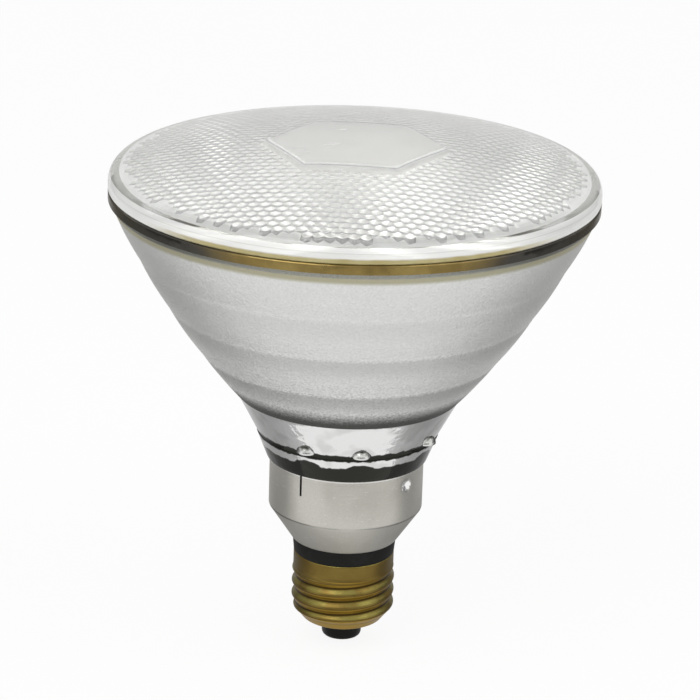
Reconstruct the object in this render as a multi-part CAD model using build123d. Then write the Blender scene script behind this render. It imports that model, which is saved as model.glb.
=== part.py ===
from build123d import *
import math
import os

# Infrared heat bulb: a pressed-glass reflector lamp on a skirted medium screw base.
# Millimetres. +Z runs up the bulb's axis from the centre contact, whose face is at z = 0,
# to the front glass. -Y is the front, and angles round the axis are measured from it
# towards +X.

# Stack of heights
base_height = 50.5  # contact face to the skirt's top edge
bowl_height = 69.9  # skirt top to the plane where the two glasses are fused
lens_height = 12.6  # seal plane to the top of the front glass
rim_diameter = 121.6  # front glass and reflector flange

# Front glass
lens_wall = 3.0
lens_edge_height = 5.0  # seal plane to where the dome would meet the side wall
lens_corner_radius = 4.2
seal_width = 3.6  # radial width of the fused edge
seal_edge = 0.4  # small chamfers that leave the seal line open
panel_across_corners = 43.0  # six-sided raised panel on the dome
panel_relief = 0.35
panel_turn = -4.0  # degrees

# Reflector bowl and neck
vertex_rise = 5.0  # skirt top to the lowest point of the mirror
bottom_wall = 3.2  # glass under the mirror's lowest point
flange_height = 2.4
flange_lip = 1.1  # how far the flange stands out from the bowl
flange_chamfer = 1.3
zone_count = 4  # bulged zones that the bowl is pressed in
zone_bulge = 0.3
neck_height = 17.3  # skirt top to the end of the grained bowl
neck_step = 0.6
collar_height = 7.9  # skirt top to the groove round the neck
collar_diameter = 46.6
groove_width = 1.0
groove_depth = 0.5
shoulder_overhang = 0.8  # glass standing out past the skirt
plug_length = 6.0  # glass inside the skirt
plug_wall = 3.2
plug_clearance = 0.1
lug_count = 10
lug_radius = 2.6
lug_turn = 8.0  # degrees
lug_sink = 0.7  # lug centres inside the collar's surface

# Skirt
skirt_diameter = 39.1
skirt_wall = 0.5
skirt_knee_height = 37.4
skirt_knee_radius = 2.0
skirt_foot_diameter = 27.2
slit_width = 0.6
slit_length = 5.6
slit_turn = -35.0  # degrees
crimp_count = 3
crimp_turn = 51.0  # degrees
crimp_drop = 3.4  # skirt top to the crimps
crimp_radius = 1.7
crimp_depth = 0.9

# Insulating ring between skirt and screw shell
ring_height = 3.95
ring_top_diameter = 26.5
ring_bottom_diameter = 25.7
ring_bore = 15.0
spigot_rise = 0.6  # spigots past the two inturned flanges
spigot_clearance = 0.1

# Screw shell
shell_height = 24.5  # contact face to the shell's top
shell_wall = 0.35
shell_collar_diameter = 25.7
shell_flange_bore = 21.0
collar_length = 4.7  # plain collar under the shell's top
thread_root_diameter = 24.6
thread_crest_diameter = 26.3
thread_pitch = 3.629
thread_crest_height = 15.6  # a crest on the -X side
thread_runout = 0.6  # thread that fades out behind the collar's foot
thread_fade = 1.8  # height in which it fades
thread_points = 20  # points that a cross-section is drawn through
thread_sections = 8  # cross-sections in one pitch
shell_shoulder_height = 8.8
shell_heel_diameter = 20.6
shell_heel_height = 6.2
shell_lip_height = 4.0
shell_lip_bore = 10.1

# Base insulator and centre contact
nose_tip_diameter = 8.6
nose_tip_radius = 0.8
contact_diameter = 6.4
contact_wall = 0.35
contact_bore = 2.0
solder_rise = 0.2  # solder button below the contact's plate
solder_diameter = 4.2

# Filament mount
post_spacing = 18.0
post_diameter = 1.6
post_reach = 1.5  # posts above the filament's axis
coil_turns = 8
coil_points = 12  # points of one turn that the wire is drawn through
coil_length = 12.0
coil_radius = 1.2
coil_wire_diameter = 0.4
bridge_drop = 6.5  # filament axis to the glass bridge
bridge_diameter = 3.0
bridge_overhang = 1.4
support_wire_diameter = 0.5
support_clearance = 0.1

# Seals and wiring at the back of the reflector
ferrule_diameter = 6.8
ferrule_wall = 0.4
ferrule_length = 5.5
post_hole_diameter = 3.2
exhaust_diameter = 6.0
exhaust_bore = 4.0
exhaust_length = 11.0
lead_diameter = 1.0
lead_hole_clearance = 0.1
lead_bend_radius = 2.0
lead_drop = 8.5  # straight lead under the ferrules
lead_step = 6.0  # height in which a lead moves towards the axis
side_lead_offset = 5.0  # side lead from the axis in the ring's bore
side_solder_radius = 1.1
side_solder_drop = 3.5  # shell top to the side solder

# Heights and radii that follow
collar_foot_height = shell_height - collar_length
thread_top_height = collar_foot_height + thread_runout
side_solder_height = shell_height - side_solder_drop
seal_z = base_height + bowl_height
top_z = seal_z + lens_height
rim_radius = rim_diameter / 2
mouth_radius = rim_radius - seal_width
vertex_z = base_height + vertex_rise
underside_z = vertex_z - bottom_wall
focal_length = mouth_radius**2 / (4 * (seal_z - vertex_z))
filament_z = vertex_z + focal_length
dome_top_z = top_z - panel_relief
dome_rise = dome_top_z - seal_z - lens_edge_height
dome_radius = (rim_radius**2 + dome_rise**2) / (2 * dome_rise)
dome_centre_z = dome_top_z - dome_radius
skirt_radius = skirt_diameter / 2
plug_radius = skirt_radius - skirt_wall - plug_clearance
plug_bore_radius = plug_radius - plug_wall
collar_z = base_height + collar_height
crimp_z = base_height - crimp_drop
skirt_foot_z = shell_height + ring_height
spigot_radius = shell_flange_bore / 2 - spigot_clearance
contact_top_z = solder_rise + contact_wall
shell_bore_radius = shell_collar_diameter / 2 - shell_wall
ferrule_foot_z = underside_z - ferrule_length
lead_knee_z = ferrule_foot_z - lead_drop


def turned(*edges):
    """A solid turned round the bulb's axis from a closed outline in (radius, height)."""
    return revolve(Plane.XZ * make_face(edges), Axis.Z)


def turned_sheet(points, radii, wall):
    """A sheet-metal shell turned round the axis: its middle line is given, with bend radii."""
    return revolve(Plane.XZ * trace(FilletPolyline(*points, radius=radii), wall), Axis.Z)


def around(turn, radius, height):
    """A place on the bulb, given the angle from the front towards +X."""
    angle = math.radians(turn)
    return Location((radius * math.sin(angle), -radius * math.cos(angle), height), (0, 0, turn))


def upright(radius, foot, head, x=0.0):
    """A cylinder parallel to the axis."""
    return Pos(x, 0, foot) * Cylinder(radius, head - foot, align=(Align.CENTER, Align.CENTER, Align.MIN))


def bent_wire(points, diameter, bend_radius):
    """A wire along straight runs joined by tangent arcs."""
    path = FilletPolyline(*points, radius=bend_radius)
    return sweep(Plane(path @ 0, z_dir=path % 0) * Circle(diameter / 2), path)


def front_lens():
    """Dome and side wall pressed as one glass, open towards the reflector, with the raised panel."""
    corner_r = rim_radius - lens_corner_radius
    corner_z = dome_centre_z + math.sqrt((dome_radius - lens_corner_radius) ** 2 - corner_r**2)
    slope = math.atan2(corner_z - dome_centre_z, corner_r)
    dome_end = (dome_radius * math.cos(slope), dome_centre_z + dome_radius * math.sin(slope))
    corner_mid = (
        corner_r + lens_corner_radius * math.cos(slope / 2),
        corner_z + lens_corner_radius * math.sin(slope / 2),
    )
    inner_radius = dome_radius - lens_wall
    inner_end_z = dome_centre_z + math.sqrt(inner_radius**2 - mouth_radius**2)
    glass = turned(
        RadiusArc((0, dome_top_z), dome_end, dome_radius),
        ThreePointArc(dome_end, corner_mid, (rim_radius, corner_z)),
        Polyline(
            (rim_radius, corner_z),
            (rim_radius, seal_z + seal_edge),
            (rim_radius - seal_edge, seal_z),
            (mouth_radius, seal_z),
            (mouth_radius, inner_end_z),
        ),
        RadiusArc((0, dome_top_z - lens_wall), (mouth_radius, inner_end_z), inner_radius),
        Line((0, dome_top_z - lens_wall), (0, dome_top_z)),
    )
    panel = RegularPolygon(panel_across_corners / 2, 6, rotation=panel_turn)
    panel_foot_z = dome_top_z - lens_wall / 2 - panel_across_corners**2 / (8 * dome_radius)
    relief = extrude(Pos(0, 0, panel_foot_z) * panel, top_z - panel_foot_z + 1)
    return glass + (relief & Pos(0, 0, dome_centre_z) * Sphere(dome_radius + panel_relief))


def bowl_zones(top, foot):
    """Outer outline of the bowl: bulged zones laid along a parabola that ends at the given points."""
    outer_vertex_z = vertex_z - bottom_wall
    parameter = top[0] ** 2 / (top[1] - outer_vertex_z)
    heights = [top[1] + (foot - top[1]) * i / zone_count for i in range(zone_count + 1)]

    def on_parabola(z, out=0.0):
        r = math.sqrt(parameter * (z - outer_vertex_z))
        lean = math.atan2(parameter / 2, r)
        return (r + out * math.cos(lean), z - out * math.sin(lean))

    zones = [
        ThreePointArc(on_parabola(a), on_parabola((a + b) / 2, zone_bulge), on_parabola(b))
        for a, b in zip(heights, heights[1:])
    ]
    return zones, on_parabola(foot)


def reflector():
    """Pressed glass: mirror bowl, flange, thick neck with its lugs, and the plug inside the skirt."""
    flange_z = seal_z - flange_height
    bowl_top = (rim_radius - flange_lip, flange_z - flange_chamfer)
    zones, grain_end = bowl_zones(bowl_top, base_height + neck_height)
    collar_radius = collar_diameter / 2
    groove_radius = collar_radius - groove_depth
    glass = turned(
        Bezier((0, vertex_z), (mouth_radius / 2, vertex_z), (mouth_radius, seal_z)),
        Polyline(
            (mouth_radius, seal_z),
            (rim_radius - seal_edge, seal_z),
            (rim_radius, seal_z - seal_edge),
            (rim_radius, flange_z),
            bowl_top,
        ),
        *zones,
        Polyline(
            grain_end,
            (grain_end[0] - neck_step, grain_end[1] - neck_step),
            (collar_radius, collar_z),
            (groove_radius, collar_z),
            (groove_radius, collar_z - groove_width),
            (collar_radius - groove_depth / 2, collar_z - groove_width),
            (skirt_radius + shoulder_overhang, base_height),
            (plug_radius, base_height),
            (plug_radius, base_height - plug_length),
            (plug_bore_radius, base_height - plug_length),
            (plug_bore_radius, underside_z),
            (0, underside_z),
            (0, vertex_z),
        ),
    )
    for i in range(lug_count):
        turn = lug_turn + 360 * i / lug_count
        glass += around(turn, collar_radius - lug_sink, collar_z) * Sphere(lug_radius)
    for i in range(crimp_count):
        glass -= crimp_ball(i, crimp_radius + skirt_wall + plug_clearance)
    for x in (-post_spacing / 2, post_spacing / 2):
        glass -= upright(post_hole_diameter / 2, underside_z - 1, filament_z, x)
    return glass - upright(exhaust_bore / 2, underside_z - 1, filament_z)


def crimp_ball(index, radius):
    """Ball that shapes one punched crimp; the skirt takes its skin, the glass its pocket."""
    centre = skirt_radius + crimp_radius - crimp_depth
    return around(crimp_turn + 360 * index / crimp_count, centre, crimp_z) * Sphere(radius)


def skirt():
    """Thin aluminium sleeve with an inturned foot, one slit and punched crimps."""
    half = skirt_wall / 2
    wall_r = skirt_radius - half
    sleeve = turned_sheet(
        [
            (wall_r, base_height),
            (wall_r, skirt_knee_height),
            (skirt_foot_diameter / 2 - half, skirt_foot_z + half),
            (shell_flange_bore / 2, skirt_foot_z + half),
        ],
        [skirt_knee_radius, skirt_wall],
        skirt_wall,
    )
    bore = upright(skirt_radius - half, base_height - crimp_drop * 2, base_height)
    for i in range(crimp_count):
        sleeve += crimp_ball(i, crimp_radius + skirt_wall) & bore
        sleeve -= crimp_ball(i, crimp_radius)
    slit = Box(slit_width, 4 * skirt_wall, 2 * slit_length)
    return sleeve - around(slit_turn, wall_r, base_height) * slit


def insulating_ring():
    """Black ring that parts skirt and shell, with a spigot through each inturned flange."""
    upper_z = skirt_foot_z + skirt_wall + spigot_rise
    lower_z = shell_height - shell_wall - spigot_rise
    return turned(
        Polyline(
            (ring_bore / 2, lower_z),
            (spigot_radius, lower_z),
            (spigot_radius, shell_height),
            (ring_bottom_diameter / 2, shell_height),
            (ring_top_diameter / 2, skirt_foot_z),
            (spigot_radius, skirt_foot_z),
            (spigot_radius, upper_z),
            (ring_bore / 2, upper_z),
            (ring_bore / 2, lower_z),
        )
    )


def shell_line(depth):
    """Outline of the shell in (radius, height), from the axis over the collar to the lip.

    Depth is measured into the brass: 0 gives its outside, the wall's thickness its inside.
    """
    collar_r = shell_collar_diameter / 2
    root_r = thread_root_diameter / 2
    outside = [
        (0, shell_height),
        (collar_r, shell_height),
        (collar_r, collar_foot_height),
        (root_r, collar_foot_height - (collar_r - root_r)),
        (root_r, shell_shoulder_height),
        (shell_heel_diameter / 2, shell_heel_height),
        (shell_lip_bore / 2, shell_lip_height),
    ]
    inward = []
    for (r0, z0), (r1, z1) in zip(outside, outside[1:]):
        run = math.hypot(r1 - r0, z1 - z0)
        inward.append(((z1 - z0) / run, (r0 - r1) / run))
    line = []
    for (r, z), (ar, az), (br, bz) in zip(outside, inward[:1] + inward, inward + inward[-1:]):
        miter = depth / (1 + ar * br + az * bz)
        line.append((r + miter * (ar + br), z + miter * (az + bz)))
    return line


def threaded_body(foot_z, head_z):
    """Solid with the rolled thread, a smooth wave: sections whose bulge moves round as they climb."""
    middle_r = (thread_crest_diameter + thread_root_diameter) / 4
    wave = (thread_crest_diameter - thread_root_diameter) / 4
    steps = math.ceil(thread_sections * (head_z - foot_z) / thread_pitch)
    sections = []
    for k in range(steps + 1):
        z = foot_z + (head_z - foot_z) * k / steps
        crest_angle = math.pi + math.tau * (z - thread_crest_height) / thread_pitch
        outline = []
        for i in range(thread_points):
            angle = math.tau * i / thread_points
            r = middle_r + wave * math.cos(angle - crest_angle)
            outline.append((r * math.cos(angle), r * math.sin(angle), z))
        sections.append(Wire([Spline(*outline, periodic=True).edge()]))
    return Solid.make_loft(sections)


def shell_blank():
    """Outside of the shell as a solid: thread, closed-in end and plain collar."""
    collar_top, collar_foot, neck, shoulder, heel, lip = shell_line(0)[1:]
    blank = threaded_body(lip[1], thread_top_height)
    past_r = thread_crest_diameter / 2 + thread_fade
    steepness = (shoulder[1] - heel[1]) / (shoulder[0] - heel[0])
    below = lip[1] - shell_wall
    blank -= turned(
        Polyline(
            lip,
            heel,
            (past_r, heel[1] + steepness * (past_r - heel[0])),
            (past_r, below),
            (lip[0], below),
            lip,
        )
    )
    above = thread_top_height + shell_wall
    fade_z = thread_top_height - thread_fade
    blank -= turned(
        Polyline(
            (neck[0] - shell_wall, above),
            (thread_crest_diameter / 2, fade_z),
            (past_r, fade_z),
            (past_r, above),
            (neck[0] - shell_wall, above),
        )
    )
    neck_foot = (neck[0] - shell_wall, neck[1] - shell_wall)
    collar = Polyline((0, neck_foot[1]), neck_foot, collar_foot, collar_top, (0, collar_top[1]), (0, neck_foot[1]))
    return blank + turned(collar)


def screw_shell():
    """Rolled brass shell: inturned flange, plain collar, round thread and closed-in end."""
    inside = shell_line(shell_wall)
    hollow = turned(Polyline(*inside, (0, inside[-1][1]), inside[0]))
    brass = shell_blank() - hollow
    brass -= upright(shell_flange_bore / 2, shell_shoulder_height, base_height)
    return brass - upright(shell_lip_bore / 2, 0, shell_shoulder_height)


def base_insulator():
    """Black glass that fills the shell's closed end and stands out of its lip as a nose."""
    shoulder, heel, lip = shell_line(shell_wall)[-3:]
    nose_r = nose_tip_diameter / 2
    bore_r = shell_lip_bore / 2
    bore_top_z = lip[1] + (bore_r - lip[0]) * (heel[1] - lip[1]) / (heel[0] - lip[0])
    glass = turned(
        Polyline(
            (0, contact_top_z),
            (nose_r - nose_tip_radius, contact_top_z),
            (nose_r, contact_top_z + nose_tip_radius),
            (bore_r, shell_lip_height),
            (bore_r, bore_top_z),
            heel,
            shoulder,
            (0, shoulder[1]),
            (0, contact_top_z),
        )
    )
    return glass - upright(lead_diameter / 2 + lead_hole_clearance, 0, base_height)


def centre_contact():
    """Thin plate under the insulator's nose, bored for the lead."""
    plate = upright(contact_diameter / 2, solder_rise, contact_top_z)
    return plate - upright(contact_bore / 2, 0, base_height)


def contact_solder(lead):
    """Solder that fills the contact's bore round the lead and ends in a flat button."""
    button_r = solder_diameter / 2
    button = turned(
        Polyline(
            (0, 0),
            (button_r - solder_rise, 0),
            (button_r, solder_rise),
            (contact_bore / 2, solder_rise),
            (contact_bore / 2, contact_top_z),
            (0, contact_top_z),
            (0, 0),
        )
    )
    return button - lead


def filament_posts():
    """The two stiff wires that stand in the ferrules and carry the filament."""
    foot_z = ferrule_foot_z + ferrule_wall
    return [
        upright(post_diameter / 2, foot_z, filament_z + post_reach, side * post_spacing / 2)
        for side in (-1, 1)
    ]


def filament():
    """Coiled wire across the focus, one sweep from post to post."""
    reach = (post_spacing - post_diameter) / 2
    half = coil_length / 2
    line = [(-reach, 0, -coil_radius), (-(reach + half) / 2, 0, -coil_radius)]
    for k in range(coil_turns * coil_points + 1):
        turns = k / coil_points
        a = math.tau * turns
        x = coil_length * turns / coil_turns - half
        line.append((x, coil_radius * math.sin(a), -coil_radius * math.cos(a)))
    line += [(-x, y, z) for x, y, z in line[1::-1]]
    path = Spline(*line, tangents=[(1, 0, 0), (1, 0, 0)])
    wire = sweep(Plane(path @ 0, z_dir=path % 0) * Circle(coil_wire_diameter / 2), path)
    return Pos(0, 0, filament_z) * wire


def filament_support():
    """Wire standing in the bridge, with a ring that holds the coil's middle."""
    wire_r = support_wire_diameter / 2
    ring_r = coil_radius + coil_wire_diameter / 2 + support_clearance + wire_r
    stem = upright(wire_r, filament_z - bridge_drop, filament_z - ring_r)
    return stem + Pos(0, 0, filament_z) * Rot(0, 90, 0) * Torus(ring_r, wire_r)


def glass_bridge(posts, support):
    """Glass bar fused round both posts, which keeps them apart and carries the support wire."""
    length = post_spacing + post_diameter + 2 * bridge_overhang
    bar = Cylinder(bridge_diameter / 2, length, rotation=(0, 90, 0))
    return Pos(0, 0, filament_z - bridge_drop) * bar - posts[0] - posts[1] - support


def ferrules():
    """Metal cups sealed to the back of the reflector over the post holes."""
    cup_r = ferrule_diameter / 2
    cups = []
    for x in (-post_spacing / 2, post_spacing / 2):
        cup = upright(cup_r, ferrule_foot_z, underside_z, x)
        cups.append(cup - upright(cup_r - ferrule_wall, ferrule_foot_z + ferrule_wall, underside_z + 1, x))
    return cups


def exhaust_tube():
    """Glass tube under the reflector, drawn to a round tip where it was sealed off."""
    outer_r = exhaust_diameter / 2
    bore_r = exhaust_bore / 2
    tip_z = underside_z - exhaust_length
    centre_z = tip_z + outer_r
    diagonal = math.sqrt(0.5)
    return turned(
        ThreePointArc(
            (0, tip_z), (outer_r * diagonal, centre_z - outer_r * diagonal), (outer_r, centre_z)
        ),
        Polyline((outer_r, centre_z), (outer_r, underside_z), (bore_r, underside_z), (bore_r, centre_z)),
        ThreePointArc(
            (bore_r, centre_z), (bore_r * diagonal, centre_z - bore_r * diagonal), (0, centre_z - bore_r)
        ),
        Line((0, centre_z - bore_r), (0, tip_z)),
    )


def contact_lead():
    """Wire from the right ferrule down the axis to the centre contact."""
    x = post_spacing / 2
    return bent_wire(
        [
            (x, 0, ferrule_foot_z),
            (x, 0, lead_knee_z),
            (0, 0, lead_knee_z - lead_step),
            (0, 0, solder_rise),
        ],
        lead_diameter,
        lead_bend_radius,
    )


def shell_lead():
    """Wire from the left ferrule through the ring's bore and out to the shell's collar."""
    x = -post_spacing / 2
    return bent_wire(
        [
            (x, 0, ferrule_foot_z),
            (x, 0, lead_knee_z),
            (-side_lead_offset, 0, lead_knee_z - lead_step),
            (-side_lead_offset, 0, side_solder_height + lead_bend_radius),
            (side_solder_radius / 2 - shell_bore_radius, 0, side_solder_height),
        ],
        lead_diameter,
        lead_bend_radius,
    )


def shell_solder(shell, lead):
    """Solder drop that joins the side lead to the inside of the shell's collar."""
    drop = Pos(side_solder_radius / 2 - shell_bore_radius, 0, side_solder_height) * Sphere(side_solder_radius)
    inside = upright(shell_bore_radius, 0, base_height)
    return (drop & inside) - shell - lead


def build():
    """Every piece of the bulb, by the name of its node."""
    shell = screw_shell()
    posts = filament_posts()
    cups = ferrules()
    support = filament_support()
    lead_down = contact_lead()
    lead_side = shell_lead()
    return {
        "front_lens": front_lens(),
        "reflector": reflector(),
        "filament": filament(),
        "filament_post_left": posts[0],
        "filament_post_right": posts[1],
        "filament_support": support,
        "glass_bridge": glass_bridge(posts, support),
        "ferrule_left": cups[0],
        "ferrule_right": cups[1],
        "exhaust_tube": exhaust_tube(),
        "skirt": skirt(),
        "insulating_ring": insulating_ring(),
        "screw_shell": shell,
        "base_insulator": base_insulator(),
        "centre_contact": centre_contact(),
        "contact_lead": lead_down,
        "shell_lead": lead_side,
        "contact_solder": contact_solder(lead_down),
        "shell_solder": shell_solder(shell, lead_side),
    }


os.makedirs("parts", exist_ok=True)
for name, solid in build().items():
    export_step(solid, f"parts/{name}.step")
    print(f"{name}: {len(solid.solids())} solid, {solid.volume / 1000:.3f} cm3, valid {solid.is_valid}")
print(f"overall length {top_z:.1f}, focal length {focal_length:.2f}, filament at {filament_z:.2f}")
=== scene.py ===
# %% [markdown]
# # Infrared heat bulb
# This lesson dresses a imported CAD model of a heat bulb. The bulb stands on the tip of its screw
# base, and +Z runs up its axis to the front glass. The CAD solids give the frame and the main
# sizes. What follows gives the pressed glass its pattern, the bowl its silvering and each metal its
# finish.

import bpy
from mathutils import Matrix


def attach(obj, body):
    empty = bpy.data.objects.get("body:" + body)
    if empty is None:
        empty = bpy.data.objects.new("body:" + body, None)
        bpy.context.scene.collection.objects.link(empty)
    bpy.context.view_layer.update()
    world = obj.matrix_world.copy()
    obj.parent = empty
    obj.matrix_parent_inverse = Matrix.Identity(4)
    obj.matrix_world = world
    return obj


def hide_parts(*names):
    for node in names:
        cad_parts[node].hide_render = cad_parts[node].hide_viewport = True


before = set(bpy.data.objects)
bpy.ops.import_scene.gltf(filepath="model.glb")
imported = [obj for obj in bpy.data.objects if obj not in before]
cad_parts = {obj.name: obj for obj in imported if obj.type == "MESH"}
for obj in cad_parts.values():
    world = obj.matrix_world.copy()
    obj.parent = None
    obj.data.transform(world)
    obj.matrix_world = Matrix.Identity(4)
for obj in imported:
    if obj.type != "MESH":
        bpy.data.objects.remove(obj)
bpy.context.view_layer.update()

# %% [markdown]
# ## Tools of the lesson
# Nearly every piece of a lamp is turned, blown or pressed in the round, so one helper makes a mesh
# from an outline in (radius, height). A Screw modifier could do it, but a helper lets each run of
# the outline carry its own material and closes the poles. Outlines are in millimetres, as on a
# drawing, and the mesh is in metres.

# %% Helpers for turned pieces
import math
from functools import partial

import bmesh
import bpy
from mathutils import Matrix, Vector

MM = 0.001
WELD = 0.02 * MM
WHITE = (1, 1, 1, 1)
scene = bpy.context.scene


def rounded(*corners, steps=5):
    """Line through (radius, height, bend) corners, each rounded by its bend."""
    line = []
    for i, (r, z, bend) in enumerate(corners):
        here = Vector((r, z))
        if bend == 0:
            line.append(here)
            continue
        back = Vector(corners[i - 1][:2]) - here
        ahead = Vector(corners[i + 1][:2]) - here
        room = 0.48 * min(back.length, ahead.length)
        cut = min(bend / math.tan(back.angle(ahead) / 2), room)
        a = here + back.normalized() * cut
        b = here + ahead.normalized() * cut
        for k in range(steps + 1):
            t = k / steps
            line.append((1 - t) ** 2 * a + 2 * t * (1 - t) * here + t * t * b)
    return line


def fine_line(line, step):
    """The same line with points no further apart than step."""
    points = [Vector(line[0])]
    for end in line[1:]:
        start, end = points[-1], Vector(end)
        count = max(1, math.ceil((end - start).length / step))
        points += [start.lerp(end, k / count) for k in range(1, count + 1)]
    return points


def skin(bm, a, b, number):
    """Faces between two rings of vertices, either of which may be a pole."""
    count = max(len(a), len(b))
    for i in range(count):
        j = (i + 1) % count
        corners = [a[i % len(a)], a[j % len(a)], b[j % len(b)], b[i % len(b)]]
        face = bm.faces.new(list(dict.fromkeys(corners)))
        face.material_index = number


def ring_of(bm, r, z, segments):
    """Ring of vertices, counted from the front towards +X, or one vertex on the axis."""
    if r < 1e-6:
        return [bm.verts.new((0, 0, z * MM))]
    turn = math.tau / segments
    return [
        bm.verts.new((r * MM * math.sin(i * turn), -r * MM * math.cos(i * turn), z * MM))
        for i in range(segments)
    ]


def as_mesh(name, bm, sharp=35.0):
    """Finish a bmesh as a smooth mesh whose steep edges stay sharp."""
    mesh = bpy.data.meshes.new(name)
    bm.to_mesh(mesh)
    bm.free()
    return smooth(mesh, sharp)


def smooth(mesh, sharp):
    """Shade a mesh smooth, apart from edges steeper than the angle in degrees."""
    mesh.shade_smooth()
    mesh.set_sharp_from_angle(angle=math.radians(sharp))
    return mesh


def turned_mesh(name, runs, segments=192, sharp=35.0):
    """Mesh turned round Z. Each run is a line of (radius, height) in mm, with its own material."""
    bm = bmesh.new()
    previous = None
    for number, run in enumerate(runs):
        for r, z in run if previous is None else run[1:]:
            current = ring_of(bm, r, z, segments)
            if previous is not None:
                skin(bm, previous, current, number)
            previous = current
    bmesh.ops.remove_doubles(bm, verts=bm.verts, dist=1e-7)
    bmesh.ops.recalc_face_normals(bm, faces=bm.faces)
    return as_mesh(name, bm, sharp)


def keep(name, mesh, materials, slot, *nodes):
    """Put a mesh in the scene as a piece of the bulb, in place of the CAD nodes named."""
    piece = bpy.data.objects.new(name, mesh)
    scene.collection.objects.link(piece)
    if mesh.materials:
        mesh.materials.clear()
    for material in materials:
        mesh.materials.append(material)
    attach(piece, "root")
    if nodes:
        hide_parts(*nodes)
    triangles = sum(len(p.vertices) - 2 for p in mesh.polygons)
    print(f"{name}: {len(mesh.vertices)} points, {triangles} triangles")


# %% [markdown]
# Shaders and Geometry Nodes are both node trees, so one set of helpers serves the two. `place`
# adds a node and wires it up in a single line, which keeps a tree readable as text. `plus`, `times`
# and their like are Math nodes, and `ease` is a smooth step between two values. A link knows its
# own tree, so these need no other word of where to go.

# %% Helpers for node trees
def place(tree, kind, inputs=None, **settings):
    """Add a node. inputs are links or plain values by socket; settings are its properties."""
    node = tree.nodes.new(kind)
    for key, value in settings.items():
        setattr(node, key, value)
    for key, value in (inputs or {}).items():
        if is_link(value):
            tree.links.new(value, node.inputs[key])
        else:
            node.inputs[key].default_value = value
    return node


def made(tree, kind, inputs=None, **settings):
    """Add a node and give its first output."""
    return place(tree, kind, inputs, **settings).outputs[0]


def is_link(value):
    """Whether a value is a socket to link from, not a plain number or colour."""
    return isinstance(value, bpy.types.NodeSocket)


def reckon(operation, a, b=0.0, c=0.0):
    """Output of a Math node on links or numbers, in the tree of the first link."""
    tree = next(value.id_data for value in (a, b, c) if is_link(value))
    return made(tree, "ShaderNodeMath", {0: a, 1: b, 2: c}, operation=operation)


plus, minus = partial(reckon, "ADD"), partial(reckon, "SUBTRACT")
times, over = partial(reckon, "MULTIPLY"), partial(reckon, "DIVIDE")
times_plus, power = partial(reckon, "MULTIPLY_ADD"), partial(reckon, "POWER")
most, more_than = partial(reckon, "MAXIMUM"), partial(reckon, "GREATER_THAN")


def ease(value, start, end, low=0.0, high=1.0):
    """Smooth step from low to high while value goes from start to end."""
    sockets = {"Value": value, "From Min": start, "From Max": end, "To Min": low, "To Max": high}
    return made(value.id_data, "ShaderNodeMapRange", sockets, interpolation_type="SMOOTHSTEP")


def band(value, start, full, fade, end):
    """1 from full to fade, easing off to 0 at start and at end."""
    return times(ease(value, start, full), ease(value, fade, end, 1.0, 0.0))


def ragged(value, cloud, amount):
    """A value made uneven by a cloud that runs from 0 to 1."""
    return times_plus(minus(cloud, 0.5), amount, value)


def split(vector):
    """The x, y and z of a vector."""
    return place(vector.id_data, "ShaderNodeSeparateXYZ", {0: vector}).outputs


def local_point(tree):
    """Object coordinates, in metres."""
    return place(tree, "ShaderNodeTexCoord").outputs["Object"]


def local_xyz(tree):
    """x, y and z in object coordinates."""
    return split(local_point(tree))


def squared_radius(x, y):
    """Square of a point's distance from the axis."""
    return times_plus(x, x, times(y, y))


def six_sided(x, y, first):
    """How far out a point is, measured square to the nearest side of a hexagon round the axis.

    first is the direction of one side's middle, in degrees."""
    reach = 0.0
    for k in range(3):
        a = math.radians(first + 60 * k)
        along = times_plus(x, math.cos(a), times(y, math.sin(a)))
        reach = most(reach, reckon("ABSOLUTE", along))
    return reach


# %% [markdown]
# ## Studio
# The bulb is shown on a plain white table in soft light, from a little above. The camera stands
# where the photograph was taken from, with a long lens and a slight lean. A white world and a white
# floor would light the glass from everywhere, so Light Path keeps full white for what the eye sees
# directly, mirrored or through glass, and a lower level for what lights the surfaces. The floor is
# partly lit in the normal way, so it keeps the bulb's soft shadow.

# %% Camera
eye = Vector((0.0, -0.7450, 0.3426))
aim = Vector((0.0, 0.0, 0.0783))
lean = math.radians(1.80)
back = (eye - aim).normalized()
right = Vector((0, 0, 1)).cross(back).normalized()
up = back.cross(right)
side = right * math.cos(lean) + up * math.sin(lean)
top = up * math.cos(lean) - right * math.sin(lean)
camera = bpy.data.objects.new("camera", bpy.data.cameras.new("camera"))
camera.data.lens = 162.0
camera.data.sensor_width = 36.0
camera.matrix_world = Matrix.Translation(eye) @ Matrix((side, top, back)).transposed().to_4x4()
scene.collection.objects.link(camera)
scene.camera = camera
scene.view_settings.view_transform = "Standard"
print("camera at", [round(v, 3) for v in eye], "lens", camera.data.lens)


# %% World and floor
def bare_tree(owner):
    """Node tree of a world or a material, emptied."""
    owner.use_nodes = True
    owner.node_tree.nodes.clear()
    return owner.node_tree


def backdrop_ray(tree):
    """1 for rays that show the backdrop itself: seen, mirrored or through glass."""
    path = place(tree, "ShaderNodeLightPath").outputs
    seen = most(path["Is Camera Ray"], path["Is Glossy Ray"])
    return most(seen, path["Is Transmission Ray"])


def lit_world(level):
    """White world that lights surfaces at the level given."""
    world = bpy.data.worlds.new("studio")
    tree = bare_tree(world)
    strength = times_plus(backdrop_ray(tree), 1 - level, level)
    white = made(tree, "ShaderNodeBackground", {"Color": WHITE, "Strength": strength})
    place(tree, "ShaderNodeOutputWorld", {"Surface": white})
    return world


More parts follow.
